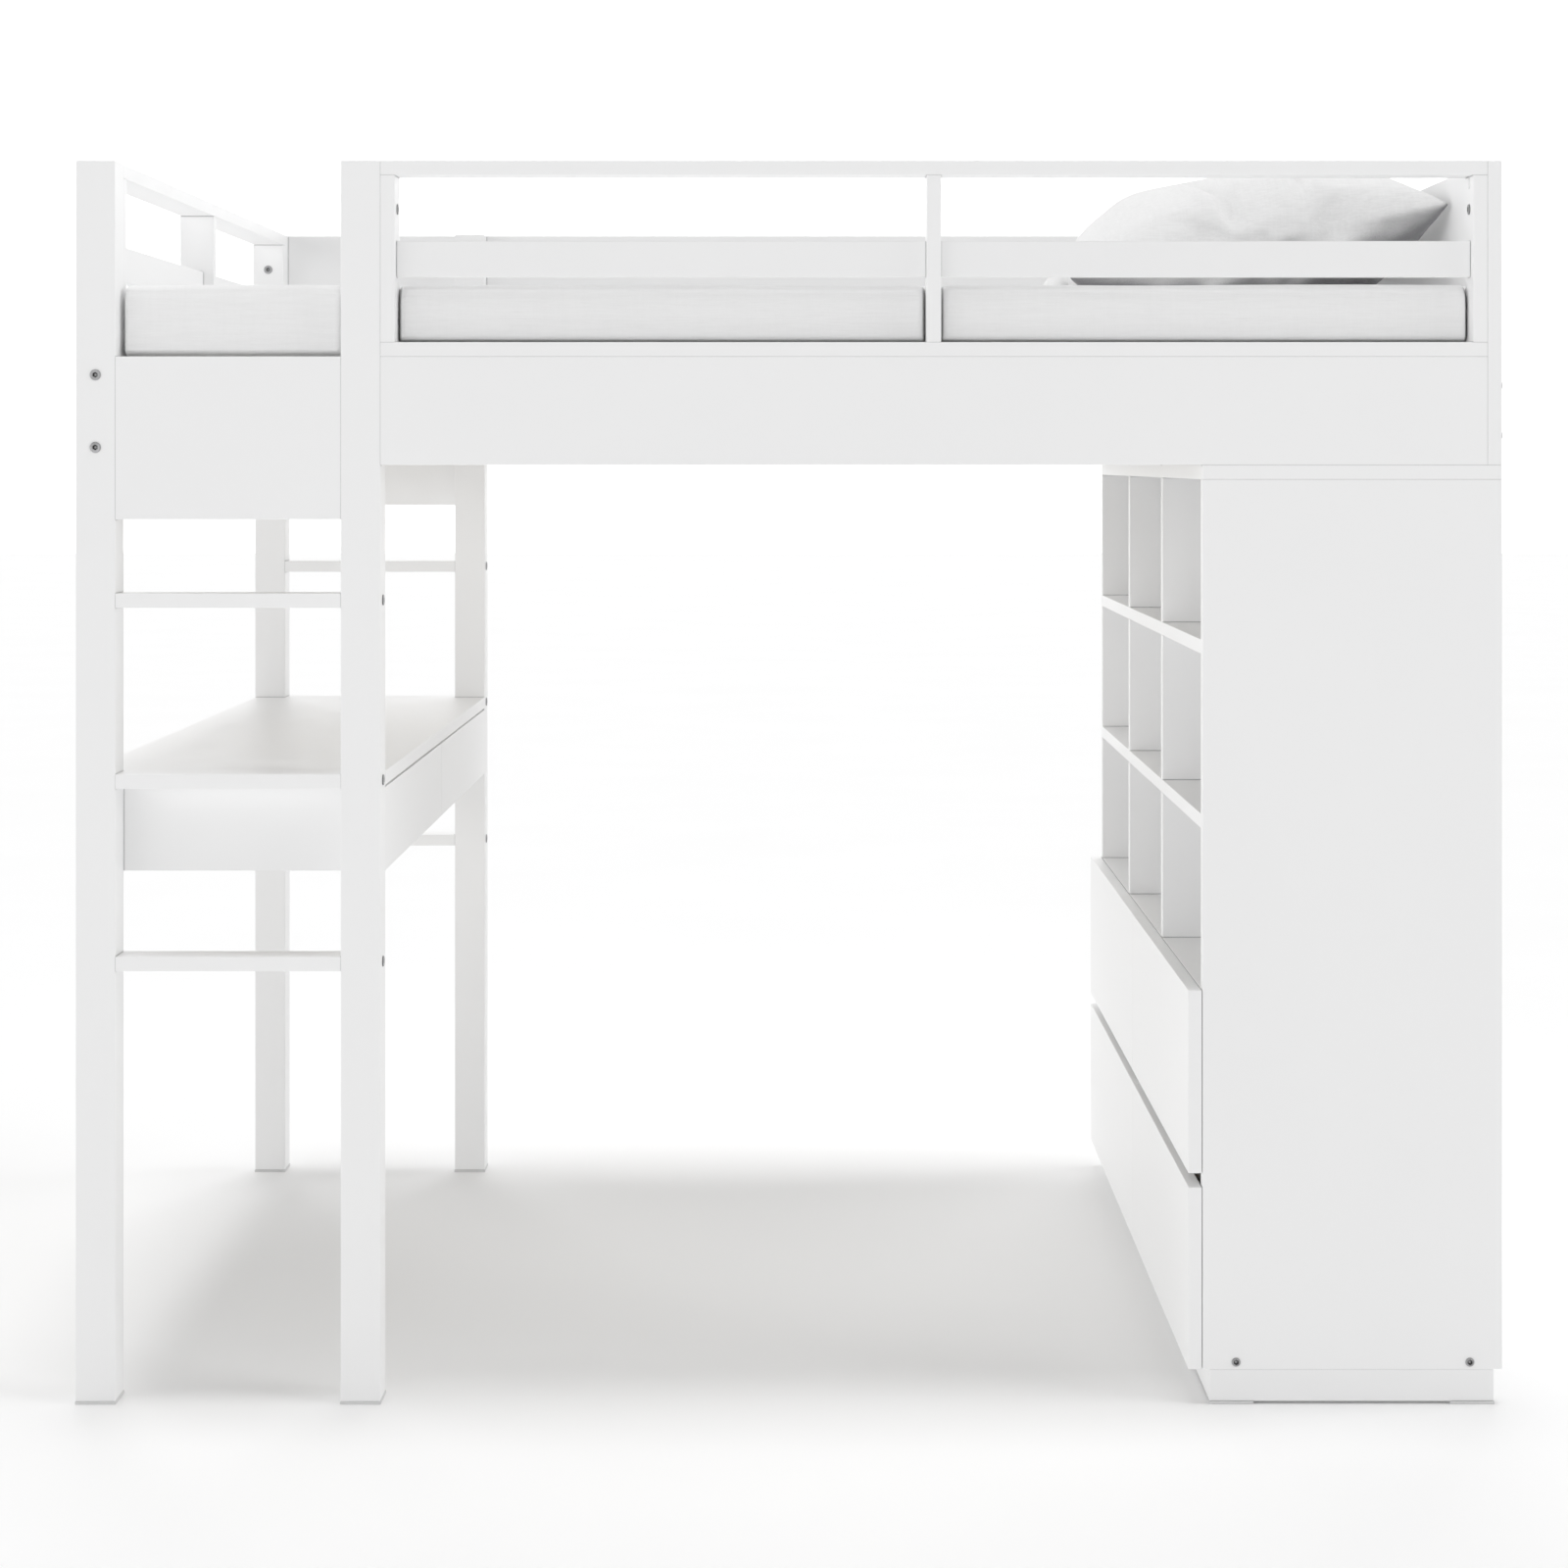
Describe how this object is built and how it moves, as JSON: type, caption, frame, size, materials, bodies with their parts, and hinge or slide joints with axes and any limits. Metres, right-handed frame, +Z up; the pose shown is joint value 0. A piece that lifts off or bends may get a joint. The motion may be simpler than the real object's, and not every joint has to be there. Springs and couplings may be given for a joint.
{
  "type": "loft bed with desk",
  "caption": "Loft bed on square posts with guard rails, a ladder bay over a desk with drawers at one end and a cabinet of cubbies and drawers at the other.",
  "frame": {"origin": "on the floor, under the middle of the bed", "axes": "+X along the bed towards the headboard and the cabinet, +Y from the side with the slatted guard to the side with the panel guard, +Z up"},
  "size_m": [1.989, 1.494, 1.7893],
  "materials": {
    "white_board": "satin white paint",
    "drawer_board": "matt sealed board",
    "slat_wood": "planed pale pine",
    "bolt_steel": "zinc plated",
    "runner_steel": "zinc plated",
    "glide_plastic": "moulded",
    "mattress_cover": "woven cotton sheet",
    "pillow_cover": "woven cotton slip"
  },
  "bodies": {
    "bed_frame": {"outer_posts": "white_board", "inner_posts": "white_board", "long_side_rails": "white_board", "ladder_bay_rails": "white_board", "left_end_rail": "white_board", "headboard": "white_board", "ladder_rungs": "white_board", "front_guard_rails": "white_board", "front_guard_uprights": "white_board", "front_guard_slats": "white_board", "left_guard_rails": "white_board", "left_guard_uprights": "white_board", "left_guard_slats": "white_board", "back_guard_panels": "white_board", "slat_cleats": "slat_wood", "support_beams": "slat_wood", "bed_slats": "slat_wood", "desk_top": "white_board", "desk_end_aprons": "white_board", "desk_outer_panel": "white_board", "desk_divider": "white_board", "cabinet_top": "white_board", "cabinet_sides": "white_board", "cabinet_rear_panel": "white_board", "cabinet_shelves": "white_board", "cubby_dividers": "white_board", "cabinet_bottom": "white_board", "cabinet_partition": "white_board", "cabinet_mid_rails": "white_board", "cabinet_plinth": "white_board", "long_bolts": "bolt_steel", "panel_bolts": "bolt_steel", "guard_bolts": "bolt_steel", "barrel_nuts": "bolt_steel", "insert_nuts": "bolt_steel", "ladder_dowels": "slat_wood", "rail_brackets": "bolt_steel", "foot_glides": "glide_plastic", "desk_channels": "runner_steel", "cabinet_channels": "runner_steel", "mattress": "mattress_cover", "pillow": "pillow_cover"},
    "desk_drawer_front": {"desk_drawer_front_panel": "white_board", "desk_drawer_front_box": "drawer_board", "desk_drawer_front_runners": "runner_steel"},
    "desk_drawer_back": {"desk_drawer_back_panel": "white_board", "desk_drawer_back_box": "drawer_board", "desk_drawer_back_runners": "runner_steel"},
    "lower_drawer_front": {"lower_drawer_front_panel": "white_board", "lower_drawer_front_box": "drawer_board", "lower_drawer_front_runners": "runner_steel"},
    "lower_drawer_back": {"lower_drawer_back_panel": "white_board", "lower_drawer_back_box": "drawer_board", "lower_drawer_back_runners": "runner_steel"},
    "upper_drawer_front": {"upper_drawer_front_panel": "white_board", "upper_drawer_front_box": "drawer_board", "upper_drawer_front_runners": "runner_steel"},
    "upper_drawer_back": {"upper_drawer_back_panel": "white_board", "upper_drawer_back_box": "drawer_board", "upper_drawer_back_runners": "runner_steel"}
  },
  "joints": [
    {"name": "desk_drawer_front_slide", "type": "slide", "parent": "bed_frame", "child": "desk_drawer_front", "axis": [1, 0, 0], "range_m": [0, 0.27]},
    {"name": "desk_drawer_back_slide", "type": "slide", "parent": "bed_frame", "child": "desk_drawer_back", "axis": [1, 0, 0], "range_m": [0, 0.27]},
    {"name": "lower_drawer_front_slide", "type": "slide", "parent": "bed_frame", "child": "lower_drawer_front", "axis": [-1, 0, 0], "range_m": [0, 0.3]},
    {"name": "lower_drawer_back_slide", "type": "slide", "parent": "bed_frame", "child": "lower_drawer_back", "axis": [-1, 0, 0], "range_m": [0, 0.3]},
    {"name": "upper_drawer_front_slide", "type": "slide", "parent": "bed_frame", "child": "upper_drawer_front", "axis": [-1, 0, 0], "range_m": [0, 0.3]},
    {"name": "upper_drawer_back_slide", "type": "slide", "parent": "bed_frame", "child": "upper_drawer_back", "axis": [-1, 0, 0], "range_m": [0, 0.3]}
  ]
}
